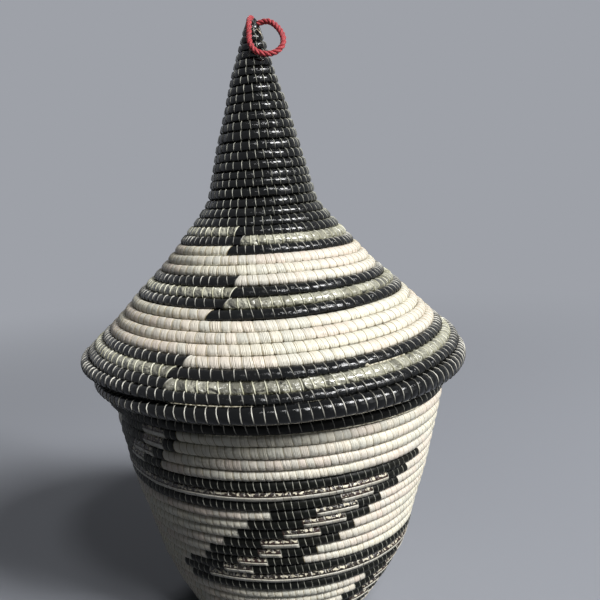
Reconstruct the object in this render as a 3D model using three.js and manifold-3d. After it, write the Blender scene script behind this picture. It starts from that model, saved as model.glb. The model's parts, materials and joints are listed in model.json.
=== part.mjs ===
// Lidded coiled basket with a tall pointed lid and a cord loop at its tip.
//
// The basket and its lid are coiled work: one long strand is laid round and round and
// each round is sewn to the one before. Every band of rounds that is covered in a strip
// of its own colour is a mesh of its own, with one swell for each round. On the lid the
// strand sinks evenly all the way round. On the wall its rounds lie level.
// Millimetres, +Z up, origin under the middle of the base.
import * as THREE from "three";
import { mergeVertices } from "three/addons/utils/BufferGeometryUtils.js";
import Module from "manifold-3d";

const wasm = await Module();
wasm.setup();

// Sewing and fits
const SEAM = 0.3; // clearance between neighbouring pieces
const CREST_SHARE = 0.25; // half the flat top of a round, as a share of the pitch
const ROUND_BENDS = [-CREST_SHARE, CREST_SHARE, 0.5]; // where its outside bends, likewise
const GROOVE_SHARE = 0.3; // depth of the groove between two rounds, as a share of the pitch

// Basket
const FOOT_RADIUS = 41.5; // crest of the lowest round
const FOOT_SECTION = 2.4; // half the thickness of the lowest round
const FOOT_LEAN = 39; // degrees from upright, at the foot
const FOOT_CURVE = 22; // reach of the curve from the foot
const MOUTH_RADIUS = 76.3; // of the wall, where it meets the rim
const MOUTH_LEAN = 5.3; // degrees from upright, at the mouth
const MOUTH_CURVE = 24.5; // reach of the curve from the mouth
const WALL_RISE = 103.2; // from the lowest crest to the rim
const WALL_THICKNESS = 4.6;
const WALL_ROUNDS = 22; // from the highest round down to the foot round
const PLAIN_ROUNDS = 4; // pale rounds under the rim
const LOWER_ROUNDS = 7; // rounds of the lowest wall band
const BASE_THICKNESS = 4.6;
const BASE_ROUNDS = 7;
const BASE_GROOVE = 0.8; // depth of the grooves on the base's upper side
const RIM_SECTION = 2.9; // half the thickness of the rim round
const RIM_OVERHANG = 2.2; // the rim's crest stands out past the wall

// Lid
const BRIM_OVERHANG = 13.7; // the brim stands out this far past the wall at the mouth
const EDGE_SECTION = 3.5; // half the thickness of the stout edge round
const SEAT_SECTION = 2.8; // half the thickness of the seat rounds
const SEAT_OUTSET = 1.6; // the lowest seat round lies this far outside the rim's middle
const SEAT_RISE = 5.1; // from the lowest seat round to the highest
const BRIM_LIFT = 1.4; // the edge round lies this far below the highest seat round
const FLARE_RISE = 70.2; // from the groove beside the edge round up to the spire's foot
const FLARE_INSET = 2.2; // that groove lies this far inside the brim
const FLARE_DROP = 4.3; // and this far above the middle of the edge round
const SHOULDER_REACH = 8.6; // the flare's bend, outside the spire's foot
const SHOULDER_FALL = 14.6; // and below it
const SPIRE_FOOT_RADIUS = 24.3;
const SPIRE_RISE = 74;
const SPIRE_SWELL = 1.1; // the spire is a little fuller than a cone
const TIP_RADIUS = 4.5;
const LID_THICKNESS = 4.2;
const LID_ROUNDS = 37; // number of the last brim round, where the tip's first is 0
const FIRST_PITCH = 3.5; // the strand is finest at the tip and thickens steadily
const COLLAR_SECTION = 2.5; // half the thickness of the collar's rounds
const COLLAR_CLEARANCE = 1.5; // between the collar and the wall
const COLLAR_DEPTH = 15; // the collar reaches this far below the rim's top

// First and last round of each band of the lid, counted from the tip
const TIP_BAND = [0, 3];
const SPIRE_BAND = [4, 22];
const SHOULDER_BAND = [23, 24];
const UPPER_PALE_BAND = [25, 27];
const MIDDLE_DARK_BAND = [28, 30];
const LOWER_PALE_BAND = [31, 34];
const BRIM_DARK_BAND = [35, LID_ROUNDS];

// Hanging loop
const CORD_RADIUS = 1.35;
const CORD_CLEARANCE = 0.4; // round the cord, in the hole through the tip
const NUB_WALL = 1.1; // wall of the nub, around the cord's hole
const NUB_RISE = 4.2; // the hole's middle lies this far above the first round
const CORD_SIDES = 8;
const CORD_STEPS = 34;

// Faces round each ring
const WALL_SIDES = 32;
const BRIM_SIDES = 36;
const SPIRE_SIDES = 20;
const BASE_SIDES = 24;
const TIP_SIDES = 16;
const HOLE_SIDES = 16;
const NUB_STEPS = 4;
const RING_CORNERS = 10; // of a single round's section
const INSIDE_STEP = 2; // rounds to each plain step of the inside
const MERGE_DISTANCE = 1e-4; // points closer than this are one

const black = new THREE.MeshStandardMaterial({ color: 0x0c0c0e, roughness: 0.25, metalness: 0 });
const ivory = new THREE.MeshStandardMaterial({ color: 0xe2d8c2, roughness: 0.4, metalness: 0 });
const patterned = new THREE.MeshStandardMaterial({ color: 0x2a2522, roughness: 0.35, metalness: 0 });
const olive = new THREE.MeshStandardMaterial({ color: 0x3a3414, roughness: 0.25, metalness: 0 });
const straw = new THREE.MeshStandardMaterial({ color: 0x8a6a43, roughness: 0.7, metalness: 0 });
const crimson = new THREE.MeshStandardMaterial({ color: 0x8c0f1c, roughness: 0.8, metalness: 0 });

const root = new THREE.Group();

// Names the mesh, gives it its material and hangs it in the scene.
function addPiece(name, geometry, material) {
  const mesh = new THREE.Mesh(geometry, material);
  mesh.name = name;
  root.add(mesh);
}

// Turns an outline of (radius, height) points round the upright axis.
function turned(points, sides) {
  const geometry = new THREE.LatheGeometry(points, sides);
  geometry.rotateX(Math.PI / 2);
  return geometry;
}

// A closed body through closed outlines with equally many points, one for each step
// round the upright axis, from the front to the right. Points that coincide are joined
// into one, and triangles that lose a side by it are left out.
function wrapped(outlineAt, sides) {
  const corners = [];
  const triangles = [];
  let count = 0;
  for (let side = 0; side <= sides; side++) {
    const share = side / sides;
    const angle = share * 2 * Math.PI;
    const outline = outlineAt(share);
    for (const point of outline) {
      corners.push(point.x * Math.sin(angle), -point.x * Math.cos(angle), point.y);
    }
    count = outline.length;
  }
  for (let side = 0; side < sides; side++) {
    for (let i = 0; i < count - 1; i++) {
      const here = side * count + i;
      const there = here + count;
      triangles.push([here, there + 1, there], [here, here + 1, there + 1]);
    }
  }
  const geometry = new THREE.BufferGeometry();
  geometry.setAttribute("position", new THREE.Float32BufferAttribute(corners, 3));
  geometry.setIndex(triangles.flat());
  const merged = mergeVertices(geometry, MERGE_DISTANCE);
  const cornerAt = (i) => merged.index.getX(i);
  const kept = triangles
    .map((_, i) => [cornerAt(3 * i), cornerAt(3 * i + 1), cornerAt(3 * i + 2)])
    .filter(([a, b, c]) => a !== b && b !== c && c !== a);
  merged.setIndex(kept.flat());
  merged.computeVertexNormals();
  return merged;
}

// A closed geometry as a solid that can be cut.
function toSolid(geometry) {
  const bare = geometry.clone();
  bare.deleteAttribute("normal");
  bare.deleteAttribute("uv");
  const merged = mergeVertices(bare, MERGE_DISTANCE);
  return new wasm.Manifold(
    new wasm.Mesh({
      numProp: 3,
      vertProperties: new Float32Array(merged.attributes.position.array),
      triVerts: new Uint32Array(merged.index.array),
    }),
  );
}

// A cut solid as a geometry.
function toGeometry(solid) {
  const mesh = solid.getMesh();
  const geometry = new THREE.BufferGeometry();
  geometry.setAttribute("position", new THREE.BufferAttribute(mesh.vertProperties, 3));
  geometry.setIndex(new THREE.BufferAttribute(mesh.triVerts, 1));
  geometry.computeVertexNormals();
  return geometry;
}

// A ring of round section, used for single rounds and for the room they need.
function ringAt(centre, section, sides) {
  const outline = [];
  for (let i = 0; i <= RING_CORNERS; i++) {
    const turn = ((i % RING_CORNERS) / RING_CORNERS) * 2 * Math.PI;
    const radius = centre.x + section * Math.cos(turn);
    const height = centre.y + section * Math.sin(turn);
    outline.push(new THREE.Vector2(radius, height));
  }
  return turned(outline, sides);
}

// A run of coiled work along a line of crests. placeOf(round) is the distance along the
// line of that round's crest, and the rounds may be fractions.
class CoiledWork {
  constructor(line, thickness, placeOf) {
    this.line = line;
    this.thickness = thickness;
    this.length = line.getLength();
    this.placeOf = placeOf;
  }

  // The point at a round, moved in from the crests by depth and on along them by shift.
  pointAt(round, depth, shift = 0) {
    const share = THREE.MathUtils.clamp((this.placeOf(round) + shift) / this.length, 0, 1);
    const onLine = this.line.getPointAt(share);
    const along = this.line.getTangentAt(share);
    const inward = new THREE.Vector2(along.y, -along.x);
    return onLine.addScaledVector(inward, depth);
  }

  pitchAt(round) {
    return this.placeOf(round + 0.5) - this.placeOf(round - 0.5);
  }

  grooveDepthAt(round) {
    return GROOVE_SHARE * this.pitchAt(round);
  }

  // How deep the outside lies there, where the strand has come on by so much of a round.
  reliefAt(round, advance) {
    const fromCrest = Math.abs(round - advance - Math.round(round - advance));
    const share = (fromCrest - CREST_SHARE) / (0.5 - CREST_SHARE);
    return this.grooveDepthAt(round) * THREE.MathUtils.clamp(share, 0, 1);
  }

  // Where the outside of a band bends. Bends past its edges are moved to them.
  bends(first, last, advance) {
    const places = [first - 0.5];
    for (let round = first - 1; round <= last; round++) {
      for (const step of ROUND_BENDS) {
        places.push(THREE.MathUtils.clamp(round + advance + step, first - 0.5, last + 0.5));
      }
    }
    return places;
  }

  // The outside of rounds first to last.
  outside(first, last, advance = 0) {
    return this.bends(first, last, advance).map((place) => {
      const shift = place === first - 0.5 ? SEAM / 2 : place === last + 0.5 ? -SEAM / 2 : 0;
      return this.pointAt(place, this.reliefAt(place, advance), shift);
    });
  }

  // The closed outline of a band that is open inside.
  bandOutline(first, last, advance) {
    const points = this.outside(first, last, advance);
    points.push(this.pointAt(last + 0.5, this.thickness, -SEAM / 2));
    for (let round = last + 0.5 - INSIDE_STEP; round > first; round -= INSIDE_STEP) {
      points.push(this.pointAt(round, this.thickness));
    }
    points.push(this.pointAt(first - 0.5, this.thickness, SEAM / 2));
    points.push(points[0].clone());
    return points;
  }

  // A band whose rounds lie level.
  band(first, last, sides) {
    return wrapped(() => this.bandOutline(first, last, 0), sides);
  }

  // A band whose strand sinks by a round on its way to the left, all the way round.
  windingBand(first, last, sides) {
    return wrapped((share) => this.bandOutline(first, last, 1 - share), sides);
  }
}

// Rounds stacked from one middle to another, as the outline of one ring.
function stackOutline(from, to, section) {
  const run = new THREE.Vector2().subVectors(to, from);
  const length = run.length();
  const gaps = Math.max(1, Math.round(length / (2 * section)));
  const along = run.clone().normalize();
  const outward = new THREE.Vector2(-along.y, along.x);
  const pitch = length / gaps;
  const groove = section - GROOVE_SHARE * pitch;
  const place = (distance, offset) =>
    from.clone().addScaledVector(along, distance).addScaledVector(outward, offset);
  const side = (sign) => {
    const points = [];
    for (let i = 0; i <= gaps; i++) {
      points.push(place((i - CREST_SHARE) * pitch, sign * section));
      points.push(place((i + CREST_SHARE) * pitch, sign * section));
      if (i < gaps) points.push(place((i + 0.5) * pitch, sign * groove));
    }
    return points;
  };
  const outer = side(1);
  const inner = side(-1).reverse();
  const points = [place(-section, 0), ...outer, place(length + section, 0), ...inner];
  points.push(points[0].clone());
  return points.reverse();
}

// The wall's line of crests, from the mouth down to the foot
const footLean = THREE.MathUtils.degToRad(FOOT_LEAN);
const mouthLean = THREE.MathUtils.degToRad(MOUTH_LEAN);
const footHeight = FOOT_SECTION * (1 - Math.sin(footLean));
const footCrest = new THREE.Vector2(FOOT_RADIUS, footHeight);
const mouthEdge = new THREE.Vector2(MOUTH_RADIUS, footHeight + WALL_RISE);
const wallLine = new THREE.CubicBezierCurve(
  mouthEdge,
  new THREE.Vector2(
    mouthEdge.x - MOUTH_CURVE * Math.sin(mouthLean),
    mouthEdge.y - MOUTH_CURVE * Math.cos(mouthLean),
  ),
  new THREE.Vector2(
    footCrest.x + FOOT_CURVE * Math.sin(footLean),
    footCrest.y + FOOT_CURVE * Math.cos(footLean),
  ),
  footCrest,
);
const wallPitch = wallLine.getLength() / (WALL_ROUNDS + 0.5);
const wall = new CoiledWork(wallLine, WALL_THICKNESS, (round) => (round + 0.5) * wallPitch);

// Foot round and base
const footMiddle = new THREE.Vector2(
  footCrest.x - FOOT_SECTION * Math.cos(footLean),
  FOOT_SECTION,
);
const baseRadius = footMiddle.x - FOOT_SECTION - SEAM;

// The foot round carries the wall: it is cut by the room that the lowest wall round takes.
const lastWallRound = WALL_ROUNDS - 1;
const lowestOuter = wall.pointAt(lastWallRound + 0.5, wall.grooveDepthAt(lastWallRound));
const lowestInner = wall.pointAt(lastWallRound + 0.5, WALL_THICKNESS);
const footOutline = [
  new THREE.Vector2(footMiddle.x - FOOT_SECTION, 0),
  new THREE.Vector2(footMiddle.x, 0),
  new THREE.Vector2(footCrest.x, footCrest.y),
  new THREE.Vector2(lowestOuter.x, lowestOuter.y - SEAM / 2),
  new THREE.Vector2(lowestInner.x, lowestInner.y - SEAM / 2),
  new THREE.Vector2(footMiddle.x - FOOT_SECTION, BASE_THICKNESS),
];
footOutline.push(footOutline[0].clone());
addPiece("foot_round", turned(footOutline, WALL_SIDES), black);

const baseOutline = [new THREE.Vector2(0, 0), new THREE.Vector2(baseRadius, 0)];
const basePitch = baseRadius / BASE_ROUNDS;
for (let round = BASE_ROUNDS; round > 0; round--) {
  const outerEdge = round * basePitch;
  baseOutline.push(new THREE.Vector2(outerEdge, BASE_THICKNESS - BASE_GROOVE));
  baseOutline.push(new THREE.Vector2(outerEdge - basePitch / 2, BASE_THICKNESS));
}
baseOutline.push(new THREE.Vector2(0, BASE_THICKNESS));
addPiece("base_disc", turned(baseOutline, BASE_SIDES), black);

// Wall bands, from the rim down to the foot round
const lowerFirst = WALL_ROUNDS - LOWER_ROUNDS;
addPiece("plain_wall_band", wall.band(0, PLAIN_ROUNDS - 1, WALL_SIDES), ivory);
addPiece("zigzag_wall_band", wall.band(PLAIN_ROUNDS, lowerFirst - 1, WALL_SIDES), patterned);
addPiece("lower_wall_band", wall.band(lowerFirst, lastWallRound, WALL_SIDES), patterned);

// Rim round at the mouth, on the highest wall round
const rimMiddle = new THREE.Vector2(
  mouthEdge.x + RIM_OVERHANG - RIM_SECTION,
  mouthEdge.y + SEAM / 2 + RIM_SECTION,
);
const rimTop = rimMiddle.y + RIM_SECTION;
addPiece("mouth_rim", ringAt(rimMiddle, RIM_SECTION, WALL_SIDES), black);

// Seat rounds under the lid, resting on the rim
const seatLow = new THREE.Vector2(rimMiddle.x + SEAT_OUTSET, rimTop + SEAM + SEAT_SECTION);
const seatHeight = seatLow.y + SEAT_RISE;

// Stout round at the brim's edge, which reaches past the mouth all the way round
const brimRadius = MOUTH_RADIUS + BRIM_OVERHANG;
const edgeMiddle = new THREE.Vector2(brimRadius - EDGE_SECTION, seatHeight - BRIM_LIFT);
addPiece("brim_edge_round", ringAt(edgeMiddle, EDGE_SECTION, BRIM_SIDES), black);

// The lid's line of crests, from the tip down to the edge round
const brimGroove = new THREE.Vector2(brimRadius - FLARE_INSET, edgeMiddle.y + FLARE_DROP);
const spireFoot = new THREE.Vector2(SPIRE_FOOT_RADIUS, brimGroove.y + FLARE_RISE);
const tipCrest = new THREE.Vector2(TIP_RADIUS, spireFoot.y + SPIRE_RISE);
const lidLine = new THREE.CurvePath();
lidLine.add(
  new THREE.QuadraticBezierCurve(
    tipCrest,
    new THREE.Vector2(
      (tipCrest.x + spireFoot.x) / 2 + SPIRE_SWELL,
      (tipCrest.y + spireFoot.y) / 2,
    ),
    spireFoot,
  ),
);
lidLine.add(
  new THREE.QuadraticBezierCurve(
    spireFoot,
    new THREE.Vector2(spireFoot.x + SHOULDER_REACH, spireFoot.y - SHOULDER_FALL),
    brimGroove,
  ),
);
const lidTurns = LID_ROUNDS + 0.5;
const pitchGrowth = (2 * (lidLine.getLength() - FIRST_PITCH * lidTurns)) / lidTurns ** 2;
const lid = new CoiledWork(
  lidLine,
  LID_THICKNESS,
  (round) => FIRST_PITCH * round + (pitchGrowth * round ** 2) / 2,
);

addPiece("lid_spire", lid.windingBand(...SPIRE_BAND, SPIRE_SIDES), black);
addPiece("lid_shoulder_band", lid.windingBand(...SHOULDER_BAND, SPIRE_SIDES), olive);
addPiece("upper_pale_band", lid.windingBand(...UPPER_PALE_BAND, WALL_SIDES), ivory);
addPiece("middle_dark_band", lid.windingBand(...MIDDLE_DARK_BAND, WALL_SIDES), black);
addPiece("lower_pale_band", lid.windingBand(...LOWER_PALE_BAND, BRIM_SIDES), ivory);

// The last brim rounds lie against the edge round, which cuts into them.
const edgeRoom = ringAt(edgeMiddle, EDGE_SECTION + SEAM, BRIM_SIDES);
const brimBand = toSolid(lid.windingBand(...BRIM_DARK_BAND, BRIM_SIDES)).subtract(toSolid(edgeRoom));
addPiece("brim_dark_band", toGeometry(brimBand), black);

// The highest seat round touches the edge round and lies close under the brim.
const seatReach = EDGE_SECTION + SEAM + SEAT_SECTION;
const seatHigh = new THREE.Vector2(
  edgeMiddle.x - Math.sqrt(seatReach ** 2 - BRIM_LIFT ** 2),
  seatHeight,
);
addPiece("lid_seat_rounds", turned(stackOutline(seatHigh, seatLow, SEAT_SECTION), BRIM_SIDES), black);

// Collar that drops inside the mouth, with a ledge round between it and the seat
const wallInside = MOUTH_RADIUS - WALL_THICKNESS;
const collarRadius = wallInside - COLLAR_CLEARANCE - COLLAR_SECTION;
const ledgeRadius = seatLow.x - SEAT_SECTION - SEAM - COLLAR_SECTION;
const ledgeHeight = rimTop + SEAM + COLLAR_SECTION;
const ledge = new THREE.Vector2(ledgeRadius, ledgeHeight);
addPiece("lid_ledge_round", ringAt(ledge, COLLAR_SECTION, BRIM_SIDES), straw);
const collarStep = ledgeRadius - collarRadius;
const collarReach = 2 * COLLAR_SECTION + SEAM;
const collarDrop = Math.sqrt(Math.max(collarReach ** 2 - collarStep ** 2, 0));
const collarTop = new THREE.Vector2(collarRadius, ledgeHeight - collarDrop);
const collarFoot = new THREE.Vector2(collarRadius, rimTop - COLLAR_DEPTH + COLLAR_SECTION);
const collarOutline = stackOutline(collarTop, collarFoot, COLLAR_SECTION);
addPiece("lid_collar", turned(collarOutline, BRIM_SIDES), straw);

// Pointed tip: solid rounds with a small nub, drilled from side to side for the cord
const holeRadius = CORD_RADIUS + CORD_CLEARANCE;
const holeHeight = tipCrest.y + NUB_RISE;
const nubRadius = holeRadius + NUB_WALL;
const tipOutside = lid.outside(...TIP_BAND).slice(1 + ROUND_BENDS.length);
const tipFloor = tipOutside[tipOutside.length - 1].y;
const tipRoof = tipOutside[0].y;
const nubDome = [];
for (let i = 0; i <= NUB_STEPS; i++) {
  const turn = (i / NUB_STEPS) * (Math.PI / 2);
  const radius = nubRadius * Math.sin(turn);
  const height = holeHeight + nubRadius * Math.cos(turn);
  nubDome.push(new THREE.Vector2(radius, height));
}
const tipOutline = [
  ...nubDome,
  new THREE.Vector2(nubRadius, tipRoof),
  ...tipOutside,
  new THREE.Vector2(0, tipFloor),
];
const hole = new THREE.CylinderGeometry(holeRadius, holeRadius, 2 * brimRadius, HOLE_SIDES);
hole.rotateZ(Math.PI / 2);
hole.translate(0, 0, holeHeight);
const tip = toSolid(turned(tipOutline.reverse(), TIP_SIDES)).subtract(toSolid(hole));
addPiece("spire_tip", toGeometry(tip), black);

// The cord runs through the hole and hangs over the front of the spire. Its ends meet
// inside the nub. Points are measured from the middle of the hole.
const cordPoints = [
  [-SEAM, 0, 0],
  [-3.2, 0, 0],
  [-4.9, -1.4, 0.2],
  [-5.0, -4.0, -1.6],
  [-4.4, -6.6, -5.4],
  [-3.9, -8.2, -9.6],
  [-1.6, -9.6, -13.2],
  [3.4, -10.3, -14.9],
  [8.4, -9.9, -14.2],
  [11.6, -8.6, -11.2],
  [12.0, -6.6, -7.0],
  [9.8, -4.0, -2.8],
  [7.0, -1.6, -0.4],
  [4.9, -0.3, 0],
  [3.2, 0, 0],
  [SEAM, 0, 0],
].map(([x, y, z]) => new THREE.Vector3(x, y, holeHeight + z));
const cordRoute = new THREE.CatmullRomCurve3(cordPoints);
const cordSection = new THREE.Shape();
for (let i = 0; i < CORD_SIDES; i++) {
  const turn = (i / CORD_SIDES) * 2 * Math.PI;
  const x = CORD_RADIUS * Math.cos(turn);
  const y = CORD_RADIUS * Math.sin(turn);
  if (i === 0) cordSection.moveTo(x, y);
  else cordSection.lineTo(x, y);
}
const cord = new THREE.ExtrudeGeometry(cordSection, {
  steps: CORD_STEPS,
  extrudePath: cordRoute,
  bevelEnabled: false,
});
addPiece("hanging_loop", cord, crimson);

export default root;
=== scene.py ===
# %% [markdown]
# # A lidded coiled basket
# This basket is sewn, not woven. One long strand is laid round and round, flat plastic
# strip is laid along its face, and a fine thread binds each round to the one before.
# The lesson models one stitch of that strand, repeats it, and winds the straight strand
# round the shape of the basket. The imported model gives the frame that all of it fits.

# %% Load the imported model
import json
import math

import bpy
import numpy as np
from mathutils import Matrix, Vector


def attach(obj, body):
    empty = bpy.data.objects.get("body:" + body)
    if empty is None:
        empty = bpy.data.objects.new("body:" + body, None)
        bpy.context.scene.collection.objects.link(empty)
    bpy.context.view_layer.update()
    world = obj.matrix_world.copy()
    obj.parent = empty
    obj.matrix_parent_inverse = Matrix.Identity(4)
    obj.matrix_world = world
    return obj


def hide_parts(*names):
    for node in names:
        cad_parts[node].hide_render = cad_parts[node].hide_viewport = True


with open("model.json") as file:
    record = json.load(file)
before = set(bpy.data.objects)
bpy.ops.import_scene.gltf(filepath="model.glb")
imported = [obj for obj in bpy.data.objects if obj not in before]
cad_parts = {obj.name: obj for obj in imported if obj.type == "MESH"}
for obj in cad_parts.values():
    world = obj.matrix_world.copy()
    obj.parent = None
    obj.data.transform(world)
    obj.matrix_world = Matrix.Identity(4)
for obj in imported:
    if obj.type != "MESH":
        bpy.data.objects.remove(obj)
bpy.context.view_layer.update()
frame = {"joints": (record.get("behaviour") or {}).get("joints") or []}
MM = 0.001

# %% [markdown]
# ## The camera
# The photograph looks slightly down on the lid from close by, so the brim curves
# strongly and the foot is out of the picture. A little roll of the camera leans the
# whole basket to the left, as a picture taken by hand does.

# %% Camera
EYE = Vector((1.3, -347.3, 200.0)) * MM
LOOK_DOWN = math.radians(9.2)
LOOK_RIGHT = math.radians(1.97)
ROLL = math.radians(-2.35)
FOCAL_LENGTH = 44.84
SENSOR_WIDTH = 36

turned = (
    Matrix.Rotation(-LOOK_RIGHT, 3, "Z")
    @ Matrix.Rotation(math.pi / 2 - LOOK_DOWN, 3, "X")
    @ Matrix.Rotation(ROLL, 3, "Z")
)
bpy.ops.object.select_all(action="DESELECT")
bpy.ops.object.camera_add(location=EYE, rotation=turned.to_euler())
camera = bpy.context.object
camera.data.lens = FOCAL_LENGTH
camera.data.sensor_width = SENSOR_WIDTH
bpy.context.scene.camera = camera
print("camera at", tuple(round(c, 3) for c in camera.location))

# %% [markdown]
# ## The hanging loop
# A short red cord of three plies, twisted together, goes through the tip of the lid and
# hangs over its front. A curve with a bevel would give one smooth tube, so each ply is
# swept as a tube of its own along a helix round the cord's route.

# %% Route of the cord
PLIES = 3
PLY_RADIUS = 0.7
PLY_OFFSET = 0.66
TWIST_LENGTH = 6.6
ROUTE_STEPS = 14  # between two of the points below
CORD_ROUTE = [  # from the middle of the hole
    (-2.9, 1.8, 1.1), (-3.2, 0.1, 1.35), (-3.6, -1.6, 1.15), (-3.95, -3.2, 0.35),
    (-4.25, -4.45, -0.9), (-4.4, -5.4, -2.8), (-4.5, -6.4, -5.6), (-4.25, -8.1, -10.2),
    (-2.1, -9.4, -13.8), (2.1, -10.0, -15.4), (6.5, -9.6, -14.8), (9.65, -8.6, -12.2),
    (10.4, -7.0, -8.6), (9.2, -4.8, -5.0), (6.8, -2.7, -1.9), (4.4, -1.1, -0.3),
    (2.2, -0.2, -0.1), (0.2, 0.2, -0.6), (-1.8, 0.5, -1.3),
]
HOLE_HEIGHT = next(j for j in frame["joints"] if j["name"] == "loop_swing")["pos_m"][2] / MM


def smooth_line(corners, steps):
    """A smooth line through every corner, with that many points from one to the next."""
    corners = np.array(corners, float)
    padded = np.vstack([2 * corners[0] - corners[1], corners, 2 * corners[-1] - corners[-2]])
    points = []
    for before, here, there, after in zip(padded, padded[1:], padded[2:], padded[3:]):
        for share in np.arange(steps) / steps:
            pull = (there - before) * share + (2 * before - 5 * here + 4 * there - after) * share**2
            points.append(here + (pull + (3 * here - before - 3 * there + after) * share**3) / 2)
    return np.array(points + [corners[-1]])


cord_line = smooth_line(CORD_ROUTE, ROUTE_STEPS) + (0, 0, HOLE_HEIGHT)
cord_lengths = np.r_[0, np.cumsum(np.linalg.norm(np.diff(cord_line, axis=0), axis=1))]
print("cord length in mm", round(cord_lengths[-1], 1))

# %% Tubes along a line
TUBE_SIDES = 8


def frames_along(line):
    """Two crosswise directions at each point of a line, turning as little as they can."""
    ahead = np.gradient(line, axis=0)
    ahead /= np.linalg.norm(ahead, axis=1)[:, None]
    side = np.cross(ahead[0], (0, 0, 1))
    if np.linalg.norm(side) < 0.1:
        side = np.cross(ahead[0], (0, 1, 0))
    sides = []
    for direction in ahead:
        side = side - direction * (side @ direction)
        side = side / np.linalg.norm(side)
        sides.append(side)
    sides = np.array(sides)
    return sides, np.cross(ahead, sides)


def tube(line, radius, sides=TUBE_SIDES):
    """Points and faces of a closed tube. The radius is one number or one for each point."""
    across, upward = frames_along(line)
    turns = np.arange(sides) / sides * 2 * math.pi
    ring = np.cos(turns)[:, None] * across[:, None] + np.sin(turns)[:, None] * upward[:, None]
    radii = np.broadcast_to(radius, len(line))[:, None, None]
    points = (line[:, None] + ring * radii).reshape(-1, 3)
    faces = []
    for step in range(len(line) - 1):
        for i in range(sides):
            here, there = step * sides, (step + 1) * sides
            after = (i + 1) % sides
            faces.append((here + i, here + after, there + after, there + i))
    faces.append(tuple(range(sides))[::-1])
    faces.append(tuple(range(len(points) - sides, len(points))))
    return points, faces


def tubes_piece(name, tubes):
    """One piece made of several tubes, from points in millimetres."""
    points, faces, start = [], [], 0
    for tube_points, tube_faces in tubes:
        points.append(tube_points * MM)
        faces += [tuple(corner + start for corner in face) for face in tube_faces]
        start += len(tube_points)
    mesh = bpy.data.meshes.new(name)
    mesh.from_pydata(np.vstack(points).tolist(), [], faces)
    piece = bpy.data.objects.new(name, mesh)
    bpy.context.scene.collection.objects.link(piece)
    mesh.shade_smooth()
    return piece


# %% Three plies
cord_across, cord_upward = frames_along(cord_line)
plies = []
for ply in range(PLIES):
    phase = (cord_lengths / TWIST_LENGTH + ply / PLIES) * 2 * math.pi
    offset = np.cos(phase)[:, None] * cord_across + np.sin(phase)[:, None] * cord_upward
    plies.append(tube(cord_line + PLY_OFFSET * offset, PLY_RADIUS))
hanging_cord = tubes_piece("hanging_cord", plies)
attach(hanging_cord, "hanging_loop")
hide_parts("hanging_loop")
print("plies", PLIES, "with faces", len(hanging_cord.data.polygons))

# %% [markdown]
# ## The lines that the strand follows
# Seen from the side, the wall and the lid are two curves. The strand's rounds lie along
# them like beads, so a curve is measured by its length and each round has its place on
# it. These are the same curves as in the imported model, in millimetres.


# %% Crest lines
def bezier(*corners, steps=400):
    """Points of a Bezier curve in the (radius, height) plane."""
    share = np.linspace(0, 1, steps)[:, None]
    layer = [np.array(corner, float) for corner in corners]
    while len(layer) > 1:
        layer = [here * (1 - share) + there * share for here, there in zip(layer, layer[1:])]
    return layer[0]


class CrestLine:
    """A line of crests, measured along its length."""

    def __init__(self, points):
        self.points = points
        steps = np.linalg.norm(np.diff(points, axis=0), axis=1)
        self.lengths = np.r_[0, np.cumsum(steps)]
        self.length = self.lengths[-1]

    def at(self, distance):
        radius = np.interp(distance, self.lengths, self.points[:, 0])
        height = np.interp(distance, self.lengths, self.points[:, 1])
        return radius, height

    def tilt(self, distance, reach=1.5):
        """How far the outside faces up there, in radians above level."""
        radius_before, height_before = self.at(distance - reach)
        radius_after, height_after = self.at(distance + reach)
        return np.arctan2(radius_after - radius_before, height_before - height_after)


def leaning_from(point, distance, lean):
    """The point that far above another, on a line that leans outwards."""
    return point[0] + distance * math.sin(lean), point[1] + distance * math.cos(lean)


FOOT_CREST = (41.5, 0.89)
FOOT_LEAN = math.radians(39)
FOOT_CURVE = 22
MOUTH_EDGE = (76.3, 104.09)
MOUTH_LEAN = math.radians(5.3)
MOUTH_CURVE = 24.5
WALL_ROUNDS = 22
wall_line = CrestLine(
    bezier(
        MOUTH_EDGE,
        leaning_from(MOUTH_EDGE, -MOUTH_CURVE, MOUTH_LEAN),
        leaning_from(FOOT_CREST, FOOT_CURVE, FOOT_LEAN),
        FOOT_CREST,
    )
)
wall_pitch = wall_line.length / (WALL_ROUNDS + 0.5)

TIP_CREST = (4.5, 265.34)
SPIRE_FOOT = (24.3, 191.34)
SPIRE_SWELL = 1.1
SHOULDER_BEND = (32.9, 176.74)
BRIM_GROOVE = (87.8, 121.14)
LID_ROUNDS = 37
FIRST_PITCH = 3.5
spire_middle = np.add(TIP_CREST, SPIRE_FOOT) / 2 + (SPIRE_SWELL, 0)
spire_points = bezier(TIP_CREST, spire_middle, SPIRE_FOOT)
flare_points = bezier(SPIRE_FOOT, SHOULDER_BEND, BRIM_GROOVE)
lid_line = CrestLine(np.vstack([spire_points, flare_points[1:]]))
lid_turns = LID_ROUNDS + 0.5
pitch_growth = 2 * (lid_line.length - FIRST_PITCH * lid_turns) / lid_turns**2
last_pitch = FIRST_PITCH + pitch_growth * LID_ROUNDS
print(f"wall pitch {wall_pitch:.2f} mm; lid pitch {FIRST_PITCH} to {last_pitch:.2f} mm")

# %% [markdown]
# ## Where the strand runs
# A coil is a function of the turn: turn 3 is the fourth time that the strand passes
# the front. It gives the middle of the strand, how far its face looks up, half its width
# and depth, and the angle round the basket. On the lid the strand sinks evenly to the
# left. On the wall it lies level at the front and drops a round at the back, where its
# first turn tapers in under the rim and its last one over the foot.

# %% Paths of the wall and of the lid
WALL_DEPTH = 4.6
LID_DEPTH = 4.2
TIGHT = 1.01  # neighbouring rounds are sewn hard against each other
TWO_PI = 2 * math.pi

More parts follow.
